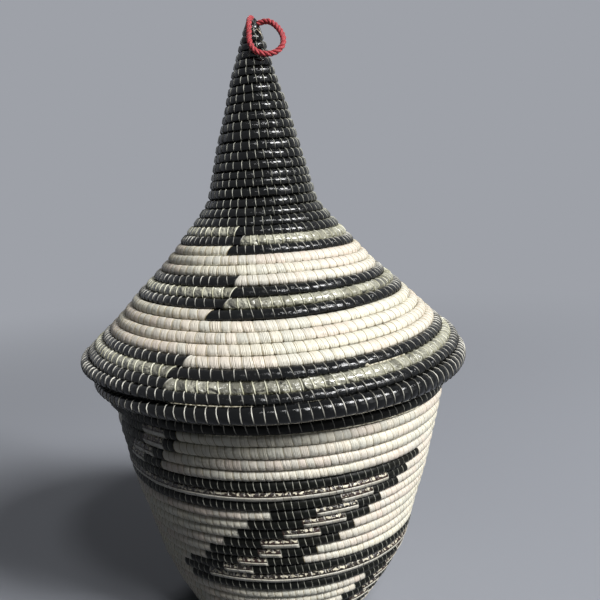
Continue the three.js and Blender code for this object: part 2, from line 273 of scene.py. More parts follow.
# Waves of a hand-made round: height in mm, waves in a round, shift by round, and start.
WAVES = [(0.22, 2, 0.45, 0), (0.16, 5, -0.8, 1), (0.09, 11, 1.9, 0)]


def uneven(angle, turn):
    """How far hand work strays outwards, in millimetres, alike on neighbouring rounds."""
    return sum(
        height * np.sin(count * angle + shift * turn + start)
        for height, count, shift, start in WAVES
    )


# Some rounds are thicker than others, so that a round's top edge lies this many
# millimetres past its even place along the wall or the lid.
WALL_SHIFTS = {
    -0.5: 0, 0: -0.1, 2: 1.0, 4: 0.9, 6: 0.4, 9: 0.4, 11: 1.1, 13: 0.5, 15: 0.8, 18: 0.4, 21.5: 0,
}
LID_SHIFTS = {
    0: -0.5, 4: -0.1, 8: 0.4, 12: 0.8, 13: 1.5, 16: 1.4, 17: 0.3, 20: -0.3, 23: -0.1, 28: 0.3, 30: 0,
}


def by_turn(table, turn):
    """The value of a table {turn: value} at any turn between."""
    return np.interp(turn, list(table), list(table.values()))


def set_in(line, distance, depth):
    """The point that lies so deep under a crest line, and the tilt there."""
    radius, height = line.at(distance)
    tilt = line.tilt(distance)
    return radius - depth * np.cos(tilt), height - depth * np.sin(tilt), tilt


# How far the wall bulges at both sides, and how far it stands to the right, by round.
WALL_SWELL = {0: 0.3, 6: 0.5, 10: 0.5, 12: 1.2, 15: 2.2, 18: 1.7, 21.5: 0}
WALL_ASIDE = {0: 1.5, 10: 1.4, 15: 1.3, 21: 0}
RUN_OUT = 0.45  # the least depth where the strand tapers, as a share


def wall_path(turn):
    whole = np.floor(turn + 0.5)
    part = turn - whole
    centre = whole + 4 * part**3  # level at the front, and half a round off at the back
    top, foot = (np.clip(centre + half, -0.5, WALL_ROUNDS - 0.5) for half in (-0.5, 0.5))
    depth = WALL_DEPTH / 2 * np.clip(RUN_OUT + (1 - RUN_OUT) * (foot - top), 0, 1)
    top_place, foot_place = (
        (edge + 0.5) * wall_pitch + by_turn(WALL_SHIFTS, edge) for edge in (top, foot)
    )
    radius, height, tilt = set_in(wall_line, (top_place + foot_place) / 2, WALL_DEPTH / 2)
    angle = TWO_PI * part
    radius = radius + uneven(angle, centre) + by_turn(WALL_SWELL, centre) * np.sin(angle) ** 2
    return radius, height, tilt, (foot_place - top_place) / 2 * TIGHT, depth, angle


# The last turn of the lid leaves the line: it thickens into the stout edge, and its end
# is tucked under its own beginning. Turn, radius, height, tilt in degrees, half the
# width and half the depth.
BRIM_END = np.array(
    [
        (36.70, 82.90, 126.90, 44, 2.80, 2.1),
        (37.00, 83.90, 121.90, 42, 2.45, 2.2),
        (37.25, 85.60, 123.60, 26, 2.75, 2.5),
        (37.50, 85.50, 122.60, 14, 3.00, 3.0),
        (37.79, 85.10, 120.90, 6, 3.95, 3.5),
        (37.90, 86.00, 118.40, 3, 3.95, 3.6),
        (38.00, 86.50, 117.30, 0, 3.70, 3.5),
        (38.06, 86.20, 117.00, -4, 3.40, 3.4),
        (38.12, 84.70, 116.60, -12, 2.70, 3.0),
        (38.17, 82.60, 116.30, -25, 1.80, 2.2),
        (38.22, 80.50, 116.30, -35, 0.80, 1.2),
    ]
)
BRIM_BLEND = 0.4  # of a turn, over which the strand leaves the line
TRUE_TURNS = 6  # the small rounds at the tip are truer, the first ones most

# A lid made by hand isn't true. Each table gives millimetres by the turn.
LID_ASIDE = {0: -3.1, 5: -3.2, 10: -2.8, 18: -2.4, 21: -1.7, 27: -1.4, 33: -0.8, 36: -0.5, 37.2: 0}
LID_SWELL = {
    0: -0.4, 5: 0.2, 10: 0.2, 14: 0.7, 18: 1, 27: 1.1, 30: 2.1, 33: 1.8, 35: 1.2, 36.3: 0.3, 37.2: 0,
}
SIDES_LIFT = {27: 0, 30: 0.8, 33: 1.3, 35: 2.3, 36.3: 3.1, 37.2: 0}
RIGHT_LIFT = {24: 0, 30: 0.6, 33: 0.8, 36.3: 0.45, 37.2: 0}
FRONT_SAG = {27: 0, 31: -1.3}


def sway(angle, turn):
    """How far out and up a point of the lid strays: it is oval, and its front sags."""
    side = np.sin(angle) ** 2
    out = by_turn(LID_SWELL, turn) * side
    up = by_turn(SIDES_LIFT, turn) * side + by_turn(FRONT_SAG, turn) * (1 - side)
    return out, up + by_turn(RIGHT_LIFT, turn) * np.sin(angle)


def lid_path(turn):
    place = FIRST_PITCH * turn + pitch_growth * turn**2 / 2 + by_turn(LID_SHIFTS, turn)
    pitch = FIRST_PITCH + pitch_growth * turn
    pitch = pitch + by_turn(LID_SHIFTS, turn + 0.5) - by_turn(LID_SHIFTS, turn - 0.5)
    on_line = set_in(lid_line, np.clip(place, 0, lid_line.length), LID_DEPTH / 2)
    ordinary = [*on_line, pitch / 2 * TIGHT, np.full_like(pitch, LID_DEPTH / 2)]
    columns = [np.interp(turn, BRIM_END[:, 0], column) for column in BRIM_END.T[1:]]
    columns[2] = np.radians(columns[2])
    share = np.clip((turn - (BRIM_END[0, 0] - BRIM_BLEND)) / BRIM_BLEND, 0, 1)
    share = share * share * (3 - 2 * share)
    radius, height, tilt, half_width, half_depth = [
        a * (1 - share) + b * share for a, b in zip(ordinary, columns)
    ]
    angle = -TWO_PI * turn
    out, up = sway(angle, turn)
    radius = radius + out + uneven(angle, turn) * np.clip(turn / TRUE_TURNS, 0.2, 1)
    return radius, height + up, tilt, half_width, half_depth, angle


for name, path, turn in (("wall", wall_path, 4.0), ("brim", lid_path, 38.0)):
    radius, height = path(np.array([turn]))[:2]
    print(name, "strand's middle at the front", round(radius[0], 2), round(height[0], 2))

# %% [markdown]
# ## Stitches
# The thread crosses the strand every few millimetres. The places of the stitches are
# counted off along the coil, a little unevenly and with a little lean, because
# everything else follows them: the strip bulges between two stitches, a change of
# colour falls on a stitch, and the thread lies in the dent.

# %% A coil with its stitches
STITCH_CARE = 0.05  # spread of the spacing, as a share
LEAN = 0.16  # of a stitch: the lower end of each stitch stands a little to the right
LEAN_SPREAD = 0.045
SIZE_SPREAD = 0.018
MARGIN = 2  # stitches added past each end, so that leaning ones have their place too


class Coil:
    """A strand's whole way and the places of its stitches, counted from 0.

    spacing is a table of millimetres by turn. sense is 1 where the strand travels to the
    right across the front, and -1 where it travels to the left. A closed coil is a
    single round that meets itself.
    """

    def __init__(self, path, start, end, spacing, sense, seed, closed=False):
        self.path = path
        self.sense = sense
        self.closed = closed
        self.square = {0: 2.3}  # how square the round's section is: an ellipse is 2
        self.thread_size = {0: 1.0}  # the thread shows finer where the work is fine
        self.leaning = {0: 1.0}  # where the work is steep, the stitches stand more upright
        self.aside = {0: 0.0}  # how far to the right of the middle the round stands
        spread = np.random.default_rng(seed)
        if closed:
            count = round(self.round_length(start) / by_turn(spacing, start))
            inner = np.linspace(start, end, count + 1)
            inner[1:-1] += spread.normal(0, STITCH_CARE, count - 1) / count
            marks = list(inner)
        else:
            marks = [start]
            while marks[-1] < end:
                step = by_turn(spacing, marks[-1]) * (1 + spread.normal(0, STITCH_CARE))
                marks.append(marks[-1] + step / self.round_length(marks[-1]))
        marks = np.array(marks)
        count = len(marks) - 1
        lean = spread.normal(LEAN, LEAN_SPREAD, count)
        size = spread.normal(1, SIZE_SPREAD, count)
        self.count = count
        self.marks = marks
        places = np.arange(-MARGIN, count + 1 + MARGIN)
        if closed:
            laps, rest = np.divmod(places, count)
            self.turns = marks[rest] + laps * (end - start)
        else:
            ends = marks[1] - marks[0], marks[-1] - marks[-2]
            before = marks[0] - ends[0] * np.arange(MARGIN, 0, -1)
            after = marks[-1] + ends[1] * np.arange(1, MARGIN + 1)
            self.turns = np.r_[before, marks, after]
        self.places = places
        self.leans = lean[places % count]
        self.sizes = size[places % count]

    def round_length(self, turn):
        radius, _, tilt, _, depth, _ = self.path(np.array([float(turn)]))
        return TWO_PI * float(radius[0] + depth[0] * np.cos(tilt[0]))

    def gap_at(self, place):
        """The distance to the next stitch, in millimetres."""
        before = np.interp(place - 0.5, self.places, self.turns)
        after = np.interp(place + 0.5, self.places, self.turns)
        radius = self.path((before + after) / 2)[0]
        return (after - before) * TWO_PI * radius


WALL_STITCHES = {0: 3.4, 4: 3.05, 22: 3.05}  # millimetres between stitches, by round
LID_STITCHES = {0: 3.5, 8: 3.9, 22: 3.9, 23: 3.45, 24: 3.6, 26: 4.0, 29: 4.45, 38: 4.3}
WALL_START, WALL_END = -0.72, WALL_ROUNDS + 0.2
LID_START, LID_END = -0.3, 38.21
wall_coil = Coil(wall_path, WALL_START, WALL_END, WALL_STITCHES, sense=1, seed=11)
lid_coil = Coil(lid_path, LID_START, LID_END, LID_STITCHES, sense=-1, seed=12)
lid_coil.square = {0: 2.4, 3: 3.6, 21: 3.8, 24: 2.9, 28: 2.4, 31: 2.3, 34: 2.1}
lid_coil.thread_size = {0: 0.8, 20: 0.75, 24: 0.85, 31: 0.9, 35: 0.95, 37: 1.1}
lid_coil.leaning = {0: 0.25, 20: 0.4, 24: 0.8, 27: 1.0}
lid_coil.aside = LID_ASIDE
wall_coil.square = {0: 2.1}
wall_coil.thread_size = {0: 0.7}
wall_coil.aside = WALL_ASIDE
print("stitches on the wall", wall_coil.count, "and on the lid", lid_coil.count)


# %% Rings and the base
RING_CARE = 0.6  # how far a closed round strays, as a share of what a wound one does


def ring_coil(seed, spacing, radius, height, half, tilt=0, depth=None):
    """A level round on its own, with half its width, and half its depth if that differs."""

    def path(turn):
        same = np.ones_like(turn)
        angle = TWO_PI * turn
        strayed = radius + RING_CARE * uneven(angle, height)
        up = math.radians(tilt)
        return strayed, height * same, up * same, half * same, (depth or half) * same, angle

    return Coil(path, 0.0, 1.0, {0: spacing}, 1, seed, closed=True)


BASE_RADIUS = 36.9
BASE_THICKNESS = 4.6
BASE_ROUNDS = 7
OFF_GROUND = 0.35  # so that the stitches stay clear of it
base_pitch = BASE_RADIUS / BASE_ROUNDS


def base_path(turn):
    """A flat spiral inwards, with its face to the ground and its edge kept round."""
    outer = np.clip(BASE_RADIUS - (turn - 0.5) * base_pitch, 0, BASE_RADIUS)
    inner = np.clip(BASE_RADIUS - (turn + 0.5) * base_pitch, 0, BASE_RADIUS)
    half = (outer - inner) / 2
    same = np.ones_like(turn)
    height = BASE_THICKNESS / 2 * same
    tilt = -math.pi / 2 * same
    return (outer + inner) / 2, height, tilt, half * TIGHT, height - OFF_GROUND, TWO_PI * turn


base_coil = Coil(base_path, 0.0, BASE_ROUNDS - 0.35, {0: 3.6}, sense=1, seed=13)
foot_coil = ring_coil(14, 3.1, radius=39.6, height=2.74, half=2.42, tilt=-30)
rim_coil = ring_coil(15, 4.25, radius=75.6, height=107.3, half=2.65, tilt=4, depth=2.8)
seat_coils = [
    ring_coil(16, 4.3, radius=77.2, height=113.14, half=2.8),
    ring_coil(17, 4.3, radius=80.05, height=118.24, half=2.8),
]
ledge_coil = ring_coil(18, 4.3, radius=71.6, height=112.84, half=2.5)
collar_coils = [
    ring_coil(seed, 4.3, radius=67.7, height=height, half=2.93, depth=2.5)
    for seed, height in ((19, 109.25), (20, 103.4), (21, 97.54))
]
rim_coil.aside = {0: 0.6}
rim_coil.square = {0: 2.1}
rim_coil.thread_size = {0: 0.8}
print("base stitches", base_coil.count, "rim stitches", rim_coil.count)

# %% [markdown]
# ## One stitch's length of strand
# The strand is modelled straight, one stitch long. A circle is extruded a few times and
# each new ring is scaled, so that the strip is drawn in at the stitch and full in
# between. Stiff black strip is hardly drawn in; the softer pale strip puffs up.

# %% Model the stitch lengths
SIDES = 12


def only(*pieces):
    """Selects these pieces and makes the first one active."""
    bpy.ops.object.select_all(action="DESELECT")
    for piece in pieces:
        piece.select_set(True)
    bpy.context.view_layer.objects.active = pieces[0]


def on_whole_mesh(operator, **settings):
    """Runs an operator of edit mode on all of the active piece."""
    bpy.ops.object.mode_set(mode="EDIT")
    bpy.ops.mesh.select_all(action="SELECT")
    operator(**settings)
    bpy.ops.object.mode_set(mode="OBJECT")


def extrude_ring(rings, axis, start=(0, 0, 0)):
    """Extrudes the active circle along an axis. A ring is (place on the axis, size)."""
    axis, start = Vector(axis), Vector(start)
    bpy.ops.object.transform_apply(location=True, rotation=True, scale=False)
    bpy.ops.object.mode_set(mode="EDIT")
    bpy.ops.mesh.select_all(action="SELECT")
    for (here, size), (there, next_size) in zip(rings, rings[1:]):
        step = {"value": tuple(axis * (there - here))}
        bpy.ops.mesh.extrude_region_move(TRANSFORM_OT_translate=step)
        grow = [1 if along else next_size / size for along in axis]
        bpy.ops.transform.resize(value=grow, center_override=tuple(start + axis * there))
    bpy.ops.object.mode_set(mode="OBJECT")


def stitch_length(name, sizes):
    """A stitch's length of strand along X, open at its ends, from a table {place: size}."""
    rings = list(sizes.items())
    bpy.ops.object.select_all(action="DESELECT")
    bpy.ops.mesh.primitive_circle_add(
        vertices=SIDES, radius=rings[0][1], rotation=(0, math.pi / 2, 0)
    )
    piece = bpy.context.object
    piece.name = name
    extrude_ring(rings, (1, 0, 0))
    return piece


STIFF = {0: 0.94, 0.12: 0.985, 0.5: 1, 0.88: 0.985, 1: 0.94}
SOFT = {0: 0.925, 0.07: 0.975, 0.28: 1, 0.72: 1, 0.93: 0.975, 1: 0.925}
FLAT = {0: 0.965, 0.1: 0.99, 0.5: 1, 0.9: 0.99, 1: 0.965}
PLAIN = {0: 1, 0.5: 1, 1: 1}
stiff_stitch = stitch_length("stiff_stitch", STIFF)
soft_stitch = stitch_length("soft_stitch", SOFT)
flat_stitch = stitch_length("flat_stitch", FLAT)
plain_stitch = stitch_length("plain_stitch", PLAIN)

THREAD_HALF = 0.1  # half the thread's thickness on the model below, whatever its real one
THREAD_SIDES = 4
bpy.ops.object.select_all(action="DESELECT")
bpy.ops.mesh.primitive_torus_add(
    major_segments=SIDES,
    minor_segments=THREAD_SIDES,
    major_radius=1,
    minor_radius=THREAD_HALF,
    rotation=(0, math.pi / 2, 0),
)
thread_ring = bpy.context.object
thread_ring.name = "thread_ring"
bpy.ops.object.transform_apply(location=False, rotation=True, scale=False)
for pattern in (soft_stitch, thread_ring):
    print("faces of", pattern.name, len(pattern.data.polygons))

# %% [markdown]
# ## Winding
# An Array modifier repeats the stitch. A Curve modifier could bend the result round a
# spiral, but it scales width and depth alike and knows nothing of the uneven stitches.
# So every point of the straight strand is placed by its own sum: the distance along it
# gives the turn, and its height and depth in the strand become up and out.

# %% Repeat and wind
THREAD_ENDS = 0.35  # a stitch's width where it dives into the work, as a share


def corners_of(mesh):
    flat = np.empty(len(mesh.vertices) * 3)
    mesh.vertices.foreach_get("co", flat)
    return flat.reshape(-1, 3)


def repeated(stitch, count):
    """So many stitches in a row, as a piece with a mesh of its own."""
    only(stitch)
    bpy.ops.object.duplicate()
    piece = bpy.context.object
    array = piece.modifiers.new("stitches", "ARRAY")
    array.use_relative_offset = False
    array.use_constant_offset = True
    array.constant_offset_displace = (1, 0, 0)
    array.count = count
    array.use_merge_vertices = stitch is not thread_ring
    array.merge_threshold = 0.001
    bpy.ops.object.modifier_apply(modifier=array.name)
    return piece


def lay_strand_map(mesh, first):
    """A UV map: u counts the stitches along the strand, v goes once round it."""
    x, out, up = corners_of(mesh).T
    around = np.arctan2(up, out) / TWO_PI
    loops = np.empty(len(mesh.loops), int)
    mesh.loops.foreach_get("vertex_index", loops)
    starts = np.empty(len(mesh.polygons), int)
    mesh.polygons.foreach_get("loop_start", starts)
    face_of_loop = np.searchsorted(starts, np.arange(len(loops)), side="right") - 1
    v = around[loops]
    highest = np.maximum.reduceat(v, starts)[face_of_loop]
    lowest = np.minimum.reduceat(v, starts)[face_of_loop]
    v = np.where((highest - lowest > 0.5) & (v < 0), v + 1, v)
    layer = mesh.uv_layers.get("strand") or mesh.uv_layers.new(name="strand")
    layer.data.foreach_set("uv", np.stack([first + x[loops], v], 1).ravel())


def placed(coil, turn, outward, upward):
    """Points in millimetres, so far outward and upward from the middle of the strand."""
    radius, height, tilt, _, _, angle = coil.path(turn)
    reach = radius + outward * np.cos(tilt) - upward * np.sin(tilt)
    level = height + outward * np.sin(tilt) + upward * np.cos(tilt)
    across = reach * np.sin(angle) + by_turn(coil.aside, turn)
    return np.stack([across, -reach * np.cos(angle), level], 1)


def wind(piece, coil, first, thread=None):
    """Places a straight strand, or its threads, along a coil from stitch number first.

    thread is (half width, half height) in millimetres and the size that it sits at.
    """
    lay_strand_map(piece.data, first)
    x, out, up = corners_of(piece.data).T
    size = np.hypot(out, up)
    if thread:
        half_width, half_height, seat = thread
        number = np.round(x)
        stitch_turn = np.interp(first + number, coil.places, coil.turns)
        fine = by_turn(coil.thread_size, stitch_turn)
        swell = THREAD_ENDS + (1 - THREAD_ENDS) * np.clip(out / size, 0, 1)
        aside = (x - number) / THREAD_HALF * half_width * fine * swell
        along = first + number + aside / coil.gap_at(first + number)
        above = (size - 1) / THREAD_HALF * half_height * fine
    else:
        along = first + x
    lean = np.interp(along, coil.places, coil.leans)
    lean = lean * by_turn(coil.leaning, np.interp(along, coil.places, coil.turns))
    turn = np.interp(along - coil.sense * lean * up, coil.places, coil.turns)
    strand_width, strand_depth = coil.path(turn)[3:5]
    if thread:
        new_size = seat + above / strand_depth
    else:
        new_size = size * np.interp(along, coil.places + 0.5, coil.sizes)
    cos, sin = out / size, up / size
    power = by_turn(coil.square, turn)
    square = (np.abs(cos) ** power + np.abs(sin) ** power) ** (-1 / power)
    outward = cos * square * new_size * strand_depth
    upward = sin * square * new_size * strand_width
    points = placed(coil, turn, outward, upward) * MM
    piece.data.vertices.foreach_set("co", points.ravel())


def wound_strand(stitch, coil, first, count):
    """A closed length of strand: capped at both ends, or joined to itself in a ring."""
    piece = repeated(stitch, count)
    whole_ring = coil.closed and count == coil.count
    if not whole_ring:
        on_whole_mesh(bpy.ops.mesh.fill_holes, sides=0)
    wind(piece, coil, first)
    if whole_ring:
        on_whole_mesh(bpy.ops.mesh.remove_doubles, threshold=0.01 * MM)
    return piece


def joined(name, parts):
    """One piece from many, with its faces outwards and smooth."""
    only(*parts)
    if len(parts) > 1:
        bpy.ops.object.join()
    piece = bpy.context.object
    piece.name = name
    on_whole_mesh(bpy.ops.mesh.normals_make_consistent, inside=False)
    bpy.ops.object.shade_smooth()
    return piece


# %% [markdown]
# ## The laid strip
# In the two-coloured rounds of the zigzag, a smooth pale strip is laid along the lower
# half of the strand on top of the sewing. It is cut from a plain strand: the faces
# outside the lower outer quarter are deleted, and Solidify gives the rest a thickness.

# %% Cut and wind a laid strip
LAID_THICKNESS = 0.08  # as a share of half the strand
LAID_STAND = 1.05
LAID_TOP = 0.4  # faces whose middle is lower than this stay,
LAID_BACK = 0.1  # if it lies further out than this
LAID_UPPER = 0.3  # corners higher than this are its upper edge,
LAID_EDGE = math.radians(11)  # which is then moved to here, above the middle


def wound_laid_strip(coil, first, count):
    piece = repeated(plain_stitch, count)
    mesh = piece.data
    only(piece)
    for face in mesh.polygons:
        face.select = face.center.z >= LAID_TOP or face.center.y <= LAID_BACK
    bpy.ops.object.mode_set(mode="EDIT")
    bpy.ops.mesh.select_mode(type="FACE")
    bpy.ops.mesh.delete(type="FACE")
    bpy.ops.object.mode_set(mode="OBJECT")
    for corner in mesh.vertices:
        if corner.co.z > LAID_UPPER:
            corner.co.y, corner.co.z = math.cos(LAID_EDGE), math.sin(LAID_EDGE)
    on_whole_mesh(bpy.ops.mesh.normals_make_consistent, inside=False)
    stand = (1, LAID_STAND, LAID_STAND)
    on_whole_mesh(bpy.ops.transform.resize, value=stand, center_override=(0, 0, 0))
    solidify = piece.modifiers.new("thickness", "SOLIDIFY")
    solidify.thickness = LAID_THICKNESS
    solidify.offset = -1
    bpy.ops.object.modifier_apply(modifier=solidify.name)
    wind(piece, coil, first)
    return piece


# %% [markdown]
# ## The pattern
# A maker works from a chart. On the lid each colour runs for one whole turn and then
# changes, always at the same place to the left of the front, which makes the stepped
# edges. On the wall a zigzag climbs from the foot to the rim and is worked twice round
# the basket. Each of its diagonals is black, then two-coloured, then black again.

# %% Chart of the lid
LID_CHART = [
    # band, covering, its last round, and the degrees past the front at which it ends
    ("tip", "black", 3, 24),
    ("spire", "black", 22, 24),
    ("shoulder", "olive", 23, 16),
    ("shoulder", "black", 24, 22),
    ("upper_pale", "ivory", 27, 15),
    ("middle_dark", "black", 28, 14),
    ("middle_dark", "olive", 29, 19),
    ("middle_dark", "black", 30, 25),
    ("lower_pale", "ivory", 34, 25),
    ("brim_dark", "black", 35, 30),
    ("brim_dark", "olive", 36, 30),
    ("brim_dark", "black", 37, 90),
    ("brim_edge", "black", 39, 0),
]
CHANGE_LEAN = -0.3  # of a stitch: where the colour changes, the edge leans the other way
print("stripes of the lid", len(LID_CHART))


def lid_chart(turn):
    ends = ((band, kind, last + past / 360) for band, kind, last, past in LID_CHART)
    return next((band, kind) for band, kind, end in ends if turn < end)


# %% Chart of the wall
WALL_BANDS = [("plain_wall", 3), ("zigzag_wall", 14), ("lower_wall", WALL_ROUNDS)]
REPEAT = 180  # degrees from one zigzag to the next
DIAGONAL_STEP = 6.1  # degrees that a diagonal moves to the left with each round down
ORDER = ("black", "mixed", "black", "ivory")
# For each round: the degrees from the front at which each of these starts, in order. In
# the fifth round the last three start together, so it has no mixed length.
CHART = {
    0: (-64, -48, -38, -33),
    1: (-66, -50, -39, -35),
    2: (-73, -57, -46, -41),
    3: (-79, -63, -51, -42),
    4: (-87, 54, 54, 54),
    5: (-92, -80, 37, 47.5),
    6: (-98, 19, 32, 42.5),
    7: (-4.4, 12, 27, 36),
    8: (-12, 7, 21, 32),
    9: (-17, -1, 12, 26),
    10: (-22, -8, 5.5, 20),
    11: (-29, -11.5, -2, 13),
    12: (-34, -18.5, -7, 6),
    13: (-42, -27, -14, 98),
    14: (-48, -33, 80, 92),
    15: (-45, 61, 74, 86),
}
HIDDEN_ROUND = 16  # from here on the foot's part of the diagonals goes on evenly
HIDDEN_START = 39
WIDTHS = (0, 15, 28, 40)
for wall_round in range(HIDDEN_ROUND, WALL_ROUNDS):
    start = HIDDEN_START - DIAGONAL_STEP * (wall_round - HIDDEN_ROUND)
    CHART[wall_round] = [start + width for width in WIDTHS]


def wall_chart(turn):
    whole = math.floor(turn + 0.5)
    wall_round = min(max(whole, 0), WALL_ROUNDS - 1)
    degrees = 360 * (turn - whole)
    band = next(name for name, last in WALL_BANDS if wall_round <= last)
    starts = CHART[wall_round]
    place = starts[0] + (degrees - starts[0]) % REPEAT
    return band, [kind for start, kind in zip(starts, ORDER) if place >= start][-1]


def runs(coil, chart):
    """Each length of one covering: (chart entry, first stitch, number of stitches)."""
    entries = [chart(turn) for turn in (coil.marks[:-1] + coil.marks[1:]) / 2]
    first = 0
    for place in range(1, len(entries) + 1):
        if place == len(entries) or entries[place] != entries[first]:
            yield entries[first], first, place - first
            first = place


lid_runs = list(runs(lid_coil, lid_chart))
wall_runs = list(runs(wall_coil, wall_chart))
for _, first, _ in lid_runs:
    lid_coil.leans[first + MARGIN] = CHANGE_LEAN
print("lengths of strip on the lid", len(lid_runs), "and on the wall", len(wall_runs))

# %% [markdown]
# ## Wind everything
# For each length of strip the strand is wound, and then its threads. A thread's half
# width and height are in millimetres. The pieces of one colour and band are joined.

# %% Coverings
COVERINGS = {
    # covering: (stitch length, thread's half width, half height and seat)
    "black": (stiff_stitch, (0.27, 0.24, 0.985)),
    "olive": (stiff_stitch, (0.38, 0.28, 0.985)),
    "ivory": (soft_stitch, (0.14, 0.2, 0.93)),
    "mixed": (stiff_stitch, (0.5, 0.24, 0.985)),
    "straw": (soft_stitch, (0.24, 0.22, 0.94)),
}
strips, threads, laid_strips = {}, {}, {}


def dress(coil, entries, zone):
    for (band, kind), first, count in entries:
        thread_zone = "spire" if band in ("tip", "spire") else zone
        stitch, thread = COVERINGS[kind]
        if kind == "black" and zone in ("wall", "base"):
            stitch = flat_stitch
        strand = wound_strand(stitch, coil, first, count)
        strips.setdefault((band, kind), []).append(strand)
        sewn = repeated(thread_ring, count)
        wind(sewn, coil, first, thread)
        threads.setdefault((thread_zone, kind), []).append(sewn)
        if kind == "mixed":
            laid = wound_laid_strip(coil, first, count)
            laid_strips.setdefault(band, []).append(laid)


dress(lid_coil, lid_runs, "lid")
dress(wall_coil, wall_runs, "wall")
PLAIN_COILS = [
    # band, covering, zone, and coils
    ("base", "black", "base", [base_coil]),
    ("foot", "black", "base", [foot_coil]),
    ("rim", "black", "rim", [rim_coil]),
    ("seat", "black", "seat", seat_coils),
    ("ledge", "straw", "seat", [ledge_coil]),
    ("collar", "straw", "seat", collar_coils),
]
for band, kind, zone, coils in PLAIN_COILS:
    for coil in coils:
        dress(coil, [((band, kind), 0, coil.count)], zone)
for pattern in (stiff_stitch, flat_stitch, soft_stitch, plain_stitch, thread_ring):
    bpy.data.objects.remove(pattern)
print("lengths of strand", sum(len(parts) for parts in strips.values()))

# %% [markdown]
# ## Finishes
# All the strips share one effect, so it is a node group: it reads the strand's UV map,
# where u counts stitches. From u it knows how near the next stitch is, and gives every
# pad between two stitches a tint of its own.

# %% Node helpers
WHITE = (1, 1, 1, 1)


def new_group(name, inputs, outputs):
    """An empty node group: its inputs and outputs are numbers or colours by name."""
    tree = bpy.data.node_groups.new(name, "ShaderNodeTree")
    for side, sockets in (("INPUT", inputs), ("OUTPUT", outputs)):
        for label, value in sockets.items():
            kind = "NodeSocketFloat" if isinstance(value, float) else "NodeSocketColor"
            socket = tree.interface.new_socket(label, in_out=side, socket_type=kind)
            socket.default_value = value
    return tree


def give(tree, made, inputs):
    """Gives a node's inputs numbers or colours, or links them to other sockets."""
    for key, value in inputs.items():
        if isinstance(value, bpy.types.NodeSocket):
            tree.links.new(value, made.inputs[key])
        else:
            made.inputs[key].default_value = value


def node(tree, kind, inputs=None, **settings):
    made = tree.nodes.new(kind)
    for key, value in settings.items():
        setattr(made, key, value)
    give(tree, made, inputs or {})
    return made


def calc(tree, operation, *values):
    inputs = dict(enumerate(values))
    return node(tree, "ShaderNodeMath", inputs, operation=operation).outputs[0]


def times(tree, product, *factors):
    for factor in factors:
        product = calc(tree, "MULTIPLY", product, factor)
    return product


def plus(tree, total, *terms):
    for term in terms:
        total = calc(tree, "ADD", total, term)
    return total


def minus(tree, first, second):
    return calc(tree, "SUBTRACT", first, second)


def ramp(tree, value, low, high, to_low=0.0, to_high=1.0):
    """A value eased from to_low at low to to_high at high."""
    inputs = {"Value": value, "From Min": low, "From Max": high, "To Min": to_low, "To Max": to_high}
    made = node(tree, "ShaderNodeMapRange", inputs, interpolation_type="SMOOTHSTEP")
    return made.outputs["Result"]


def noise(tree, place, scale=1.0, detail=2.0, **more):
    """Smooth noise around 0.5 at a place."""
    inputs = {"Vector": place, "Scale": scale, "Detail": detail, **more}
    return node(tree, "ShaderNodeTexNoise", inputs).outputs[0]


def chance(tree, number):
    """A random value from 0 to 1 that belongs to a number."""
    inputs = {"W": number}
    return node(tree, "ShaderNodeTexWhiteNoise", inputs, noise_dimensions="1D").outputs["Value"]


def place_of(tree, x, y):
    return node(tree, "ShaderNodeCombineXYZ", {"X": x, "Y": y}).outputs[0]


def own_place(tree):
    """The place on the object, in metres."""
    return node(tree, "ShaderNodeTexCoord").outputs["Object"]


def strand_place(tree):
    """How far along the strand, in stitches, and how far round it, in turns."""
    strand_map = node(tree, "ShaderNodeUVMap", uv_map="strand").outputs["UV"]
    split = node(tree, "ShaderNodeSeparateXYZ", {0: strand_map}).outputs
    return split["X"], split["Y"]


def blend_colours(tree, share, first, second):
    inputs = {0: share, 6: first, 7: second}
    return node(tree, "ShaderNodeMix", inputs, data_type="RGBA").outputs[2]


def relief(tree, height, strength, depth):
    """The normal of a surface with that height, up to so many metres deep."""
    inputs = {"Strength": strength, "Distance": depth, "Height": height}
    return node(tree, "ShaderNodeBump", inputs).outputs["Normal"]


def new_material(name):
    """A material, its nodes and its shader."""
    material = bpy.data.materials.new(name)
    material.use_nodes = True
    tree = material.node_tree
    return material, tree, tree.nodes["Principled BSDF"]


def colour(red, green, blue):
    """A colour written as on a screen, 0 to 255, as Blender's linear values."""
    linear = []
    for part in (red, green, blue):
        value = part / 255
        linear.append(((value + 0.055) / 1.055) ** 2.4 if part > 10 else value / 12.92)
    return (*linear, 1.0)


# %% The effect of sewn strip
STRIP_COLOURS = ("Colour", "Second tint", "Third tint", "Gap colour", "Groove colour")
STRIP_INPUTS = {
    **dict.fromkeys((*STRIP_COLOURS, "Fleck colour"), WHITE),
    "Gap width": 0.05,
    "Gap strength": 0.6,
    "Groove width": 0.09,
    "Notches": 0.0,
    "Half crease": 0.0,
    "Ridges": 0.3,
    "Flecks": 0.0,
    "Pad tilt": 1.0,
    "Wrinkles": 1.0,
    "Roughness": 0.3,
}
STRIP_OUTPUTS = {"Colour": WHITE, "Roughness": 0.3, "Height": 0.0}
sewn_strip = new_group("sewn_strip", STRIP_INPUTS, STRIP_OUTPUTS)
tree = sewn_strip
given = node(tree, "NodeGroupInput").outputs
along, around = strand_place(tree)
to_stitch = calc(tree, "PINGPONG", along, 0.5)
gap = ramp(tree, to_stitch, given["Gap width"], 0.0)
# Where two rounds meet, the groove is painted darker: painted shade.
to_groove = calc(tree, "ABSOLUTE", minus(tree, calc(tree, "PINGPONG", around, 0.5), 0.25))
groove_shade = ramp(tree, to_groove, given["Groove width"], 0.02)

